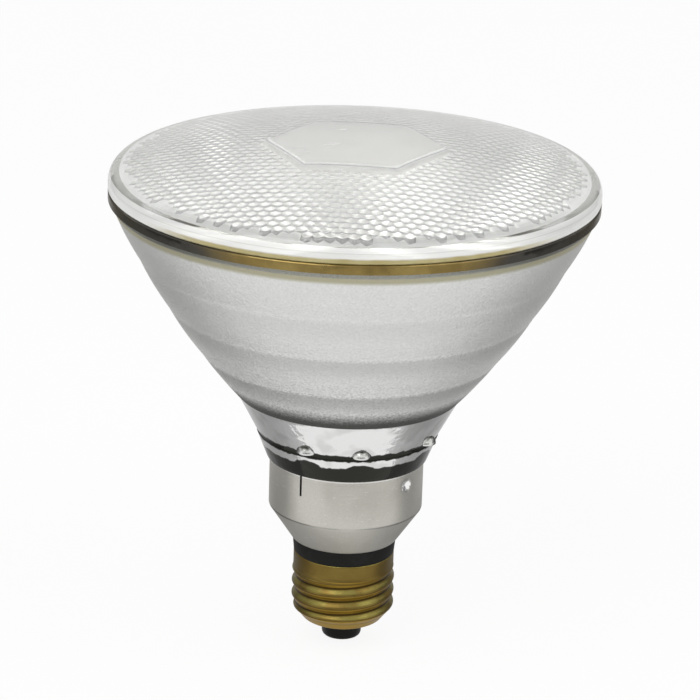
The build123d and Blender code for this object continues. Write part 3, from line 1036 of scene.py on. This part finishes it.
# %% Skirt finish
def spun_aluminium():
    """Warm grey aluminium, spun, with scuffs where it is handled and painted shade round the knee.
    """
    material, tree, shader = finish("spun_aluminium", metallic=1.0)
    z = local_xyz(tree)[2]
    grain = grain_of(tree, 3500.0)
    tone = blend(grain["Grain"], (0.46, 0.447, 0.405), (0.66, 0.645, 0.59))
    dull = ease(grain["Cloud"], 0.35, 0.7, 0.0, 0.45)
    tone = blend(dull, tone, (0.36, 0.345, 0.305))
    marks = marks_of(tree, 140.0, 0.5)
    tone = blend(marks["Scuff"], tone, (0.78, 0.77, 0.75))
    knee = band(z, 0.0372, 0.0375, 0.0376, 0.0379)
    # painted shade: an uneven dark band round the knee where the wall turns in
    knee_shade = times(knee, ease(grain["Cloud"], 0.30, 0.55, 0.15, 0.8))
    tone = blend(knee_shade, tone, (0.12, 0.115, 0.105))
    lip = ease(z, 0.0499, 0.0501, 0.0, 0.7)
    tone = blend(lip, tone, (0.86, 0.85, 0.82))
    rings = rings_of(tree, 2600.0)
    rough = times_plus(rings, 0.12, 0.30)
    dress(shader, tone, plus(rough, times(marks["Smudge"], 0.2)))
    relief(shader, times_plus(grain["Grain"], 0.5, rings), 0.00004)
    return material


def bright_crimp():
    """Aluminium polished smooth by the punch that made a crimp, and painted bright as a highlight.
    """
    material, tree, shader = finish("bright_crimp", metallic=1.0)
    grain = grain_of(tree, 5000.0)["Grain"]
    # painted highlight: the crimp's tone is far brighter than the skirt's
    tone = blend(grain, (0.80, 0.80, 0.79), (0.95, 0.95, 0.94))
    dress(shader, tone, ease(grain, 0.3, 0.8, 0.12, 0.25))
    return material


skirt_finishes = [spun_aluminium(), bright_crimp()]
print("finishes:", [material.name for material in skirt_finishes])

# %% Skirt sleeve with its slit and crimps
skirt_radius, skirt_top = 19.55, 50.5
lip_ring = 49.74  # the wall's even rings of points start here, below the lip
crimp_turns, crimp_height, crimp_foot, crimp_edge = (51, 231), 47.1, 44, 19.45


def dented(mesh, angle, z, depth, size):
    """Push a round dent into a turned wall, angle in degrees from the front."""
    a = math.radians(angle)
    outward = Vector((math.sin(a), -math.cos(a), 0))
    for v in mesh.vertices:
        r = Vector((v.co.x, v.co.y, 0))
        if r.length < 1e-6 or r.normalized().dot(outward) < 0.8:
            continue
        across, up_by = r.cross(outward).z, v.co.z - z * MM
        away = math.hypot(across, up_by) / (size * MM)
        v.co -= outward * depth * MM * max(0.0, 1 - away**2) ** 1.5


def slit_cutter(angle, width, length):
    """Mesh of the saw cut's box, from outside the wall to inside it and past the top edge."""
    past, through, out = 2, 3, 19.5
    bm = bmesh.new()
    bmesh.ops.create_cube(bm, size=1.0)
    middle = (0, -out * MM, (skirt_top + (past - length) / 2) * MM)
    place_it = (
        Matrix.Rotation(math.radians(angle), 4, "Z")
        @ Matrix.Translation(middle)
        @ Matrix.Diagonal((width * MM, through * MM, (length + past) * MM, 1))
    )
    bmesh.ops.transform(bm, matrix=place_it, verts=bm.verts)
    return as_mesh("slit_cutter", bm)


def cut_by(mesh, cutter_mesh):
    """Boolean difference as a plain mesh."""
    body = bpy.data.objects.new("cut_body", mesh)
    cutter = bpy.data.objects.new("cutter", cutter_mesh)
    for item in (body, cutter):
        scene.collection.objects.link(item)
    modifier = body.modifiers.new("cut", "BOOLEAN")
    modifier.object = cutter
    modifier.operation = "DIFFERENCE"
    modifier.solver = "EXACT"
    result = applied(body)
    bpy.data.objects.remove(cutter)
    return result


outer = rounded(
    (19.2, skirt_top, 0), (19.45, skirt_top, 0), (skirt_radius, 50.4, 0),
    (skirt_radius, lip_ring, 0), (skirt_radius, 37.4, 0.8), (13.55, 28.45, 0.6), (10.5, 28.45, 0),
    steps=6,
)
inner = rounded(
    (10.5, 28.95, 0), (13.25, 28.95, 0.4), (19.05, 37.6, 0.6), (19.05, 50.4, 0), steps=6
)
sleeve_line = fine_line(outer + inner + [outer[0]], step=0.45)
sleeve = turned_mesh("skirt_sleeve", [sleeve_line], segments=288)
for turn in crimp_turns:
    dented(sleeve, turn, crimp_height, depth=0.8, size=1.9)
sleeve = smooth(cut_by(sleeve, slit_cutter(-35.0, width=0.6, length=5.6)), 40)
for face in sleeve.polygons:
    x, y, z = face.center / MM
    pushed_in = math.hypot(x, y) < crimp_edge and z > crimp_foot
    face.material_index = 1 if pushed_in and face.normal.dot(face.center) > 0 else 0
keep("skirt_sleeve", sleeve, skirt_finishes, "skirt_aluminium", "skirt")

# %% [markdown]
# ## Black ring
# A moulded black ring keeps the skirt, which anyone may touch, apart from the live screw shell. It
# is matt, a little dusty, and its edges are slightly rounded by the mould.


# %% Insulating ring
def moulded_black():
    """Matt black moulded insulator with fine grain and dusty smudges."""
    material, tree, shader = finish("moulded_black", specular_ior_level=0.16)
    grain = grain_of(tree, 4500.0)["Grain"]
    tone = blend(grain, (0.003, 0.003, 0.0025), (0.008, 0.008, 0.007))
    marks = marks_of(tree, 220.0, 0.35)
    tone = blend(marks["Smudge"], tone, (0.03, 0.03, 0.03))
    dress(shader, tone, ease(grain, 0.2, 0.8, 0.42, 0.62))
    relief(shader, grain, 0.00005)
    return material


ring_line = rounded(
    (7.5, 29.55, 0), (7.5, 23.55, 0), (10.4, 23.55, 0.2), (10.4, 24.52, 0), (12.85, 24.52, 0.2),
    (13.25, 28.43, 0.15), (10.4, 28.43, 0), (10.4, 29.55, 0.2), (7.5, 29.55, 0), steps=3,
)
ring = turned_mesh("ring_moulding", [ring_line])
keep("ring_moulding", ring, [moulded_black()], "black_ring", "insulating_ring")

# %% [markdown]
# ## Screw shell
# The shell is thin brass with a round thread rolled into it. The plain shell is turned first, with
# both its skins. Geometry Nodes then push every point out along its radius by a wave that climbs as
# it goes round, so the wall keeps its thickness and the thread is a true helix. The same rule keeps
# the height of the wave on each point, and the finish reads it to darken the valleys and to paint
# a shade line along each crest.


# %% Geometry Nodes: rolled thread
def thread_tree(material):
    """Helical wave in the radius, faded at both ends, with its height kept as 'crest'."""
    names = {
        "Pitch": 3.629 * MM,
        "Rise": 0.85 * MM,
        "Crest height": 15.6 * MM,
        "Foot": 7.9 * MM,
        "Head": 20.9 * MM,
        "Fade": 2.1 * MM,
        "Material": material,
    }
    tree, given = rule_tree("rolled_thread", names)
    x, y, z = spot(tree)
    around = reckon("ARCTAN2", y, x)
    climb = over(minus(z, given["Crest height"]), given["Pitch"])
    phase = minus(times_plus(climb, math.tau, math.pi), around)
    wave = times_plus(reckon("COSINE", phase), 0.5, 0.5)
    foot_end = plus(given["Foot"], given["Fade"])
    head_start = minus(given["Head"], given["Fade"])
    wave = times(wave, band(z, given["Foot"], foot_end, head_start, given["Head"]))
    away = reckon("SQRT", squared_radius(x, y))
    grow = over(times_plus(wave, given["Rise"], away), away)
    shell = stored(tree, given["Geometry"], "crest", wave)
    shell = moved_to(tree, shell, times(x, grow), times(y, grow), z)
    end_rule(tree, shell, given["Material"])
    return tree, names


def brass_finish():
    """Aged brass: brown in the valleys, green on top of the thread, and painted light and shade.

    Painted: a golden reflection on faces that look down, and a dark shade line on each crest.
    """
    material, tree, shader = finish("aged_brass", metallic=1.0)
    crest, facing, z = carried(tree, "crest"), upward(tree), local_xyz(tree)[2]
    stain = grain_of(tree, 9000.0)
    tone = blend(stain["Cloud"], (0.13, 0.085, 0.021), (0.225, 0.158, 0.042))
    green = times(ease(facing, 0.15, 0.6), ease(stain["Cloud"], 0.35, 0.6))
    tone = blend(times(green, 0.6), tone, (0.23, 0.215, 0.060))
    # painted reflection: golden on the faces that look down
    golden_reflection = times(ease(facing, -0.22, -0.5), 0.8)
    tone = blend(golden_reflection, tone, (0.50, 0.31, 0.040))
    # painted shade: a dark line on each crest where it turns down
    crest_shade_line = band(facing, -0.26, -0.16, -0.1, 0.0)
    crest_shade_line = times(crest_shade_line, ease(crest, 0.3, 0.6, 0.0, 0.75))
    tone = blend(crest_shade_line, tone, (0.045, 0.027, 0.006))
    threaded = band(z, 0.0075, 0.0092, 0.0194, 0.0206)
    valley = times(ease(crest, 0.0, 0.12, 0.9, 0.0), threaded)
    tone = blend(valley, tone, (0.030, 0.017, 0.003))
    marks = marks_of(tree, 260.0, 0.35)
    dress(shader, tone, plus(times(marks["Smudge"], 0.5), 0.30))
    rings = rings_of(tree, 3500.0)
    relief(shader, times_plus(stain["Grain"], 0.6, rings), 0.00003)
    return material


skin_out = rounded(
    (10.5, 24.5, 0), (12.85, 24.5, 0.35), (12.85, 20.3, 0.5), (12.3, 19.75, 0.4), (12.3, 8.8, 0.8),
    (10.3, 6.2, 1.2), (5.6, 4.0, 0.2), (5.25, 4.05, 0), steps=5,
)
skin_in = rounded(
    (5.25, 4.4, 0), (10.05, 6.5, 1.0), (11.95, 8.9, 0.6), (11.95, 19.85, 0.4), (12.5, 20.4, 0.4),
    (12.5, 24.15, 0.2), (10.5, 24.15, 0), steps=4,
)
shell_line = fine_line(skin_out + skin_in + [skin_out[0]], step=0.22)
plain_shell = turned_mesh("plain_shell", [shell_line], segments=160)
aged_brass = brass_finish()
threaded_shell = smooth(made_by(*thread_tree(aged_brass), plain_shell), 50)
keep("threaded_shell", threaded_shell, [aged_brass], "shell_brass", "screw_shell")

# %% [markdown]
# ## Black glass nose and contact
# A nose of black glass fills the end of the shell and carries the centre contact. The contact plate
# and the two drops of solder are right as the CAD gives them, so they only need their finishes.


# %% Nose
def black_glass_finish():
    """Poured black glass: glossy, slightly wavy, with greasy marks."""
    material, tree, shader = finish("black_glass", specular_ior_level=0.18)
    marks = marks_of(tree, 240.0, 0.5)
    grain = grain_of(tree, 6000.0)
    tone = blend(grain["Grain"], (0.003, 0.003, 0.0025), (0.008, 0.008, 0.007))
    dress(shader, tone, times_plus(marks["Smudge"], 0.6, 0.28))
    relief(shader, grain["Cloud"], 0.00012)
    return material


nose_line = rounded(
    (0, 0.55, 0), (5.0, 0.55, 1.3), (5.22, 4.05, 0.1), (5.22, 4.42, 0), (10.0, 6.6, 0.4),
    (11.9, 9.0, 0), (0, 9.0, 0), steps=5,
)
nose = turned_mesh("nose_glass", [nose_line])
keep("nose_glass", nose, [black_glass_finish()], "black_glass", "base_insulator")


# %% Finishes for the CAD pieces that stay
def metal_finish(name, dark, light, low, high, scale):
    """Metal with two tones and an uneven polish."""
    material, tree, shader = finish(name, metallic=1.0)
    grain = grain_of(tree, scale)["Grain"]
    tone = blend(grain, dark, light)
    dress(shader, tone, ease(grain, 0.3, 0.7, low, high))
    relief(shader, grain, 0.00003)
    return material


def clear_tube():
    """Clear glass of the bridge and the pumping tube."""
    clear = {"base_color": (0.95, 0.97, 0.95, 1), "transmission_weight": 1.0, "metallic": 0.0}
    material, tree, shader = finish("clear_tube", ior=1.5, **clear)
    marks = marks_of(tree, 300.0, 0.1)
    dress(shader, rough=marks["Smudge"])
    return material


tungsten = metal_finish("tungsten", (0.16, 0.16, 0.165), (0.36, 0.36, 0.37), 0.3, 0.5, 9000.0)
nickel = metal_finish("nickel_wire", (0.48, 0.46, 0.42), (0.68, 0.66, 0.61), 0.2, 0.4, 6000.0)
ferrule = metal_finish("ferrule_metal", (0.40, 0.38, 0.35), (0.60, 0.57, 0.52), 0.25, 0.45, 6000.0)
contact = metal_finish("contact_brass", (0.42, 0.31, 0.12), (0.62, 0.48, 0.20), 0.25, 0.5, 5000.0)
solder = metal_finish("solder", (0.36, 0.36, 0.36), (0.60, 0.60, 0.59), 0.3, 0.55, 4000.0)
clear = clear_tube()
inner_finishes = {
    "filament": tungsten,
    "filament_post_left": nickel,
    "filament_post_right": nickel,
    "filament_support": nickel,
    "glass_bridge": clear,
    "ferrule_left": ferrule,
    "ferrule_right": ferrule,
    "exhaust_tube": clear,
    "centre_contact": contact,
    "contact_solder": solder,
    "shell_solder": solder,
    "contact_lead": nickel,
    "shell_lead": nickel,
}
for name, material in inner_finishes.items():
    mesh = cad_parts[name].data
    mesh.materials.clear()
    mesh.materials.append(material)
print("finishes on", len(inner_finishes), "CAD pieces")
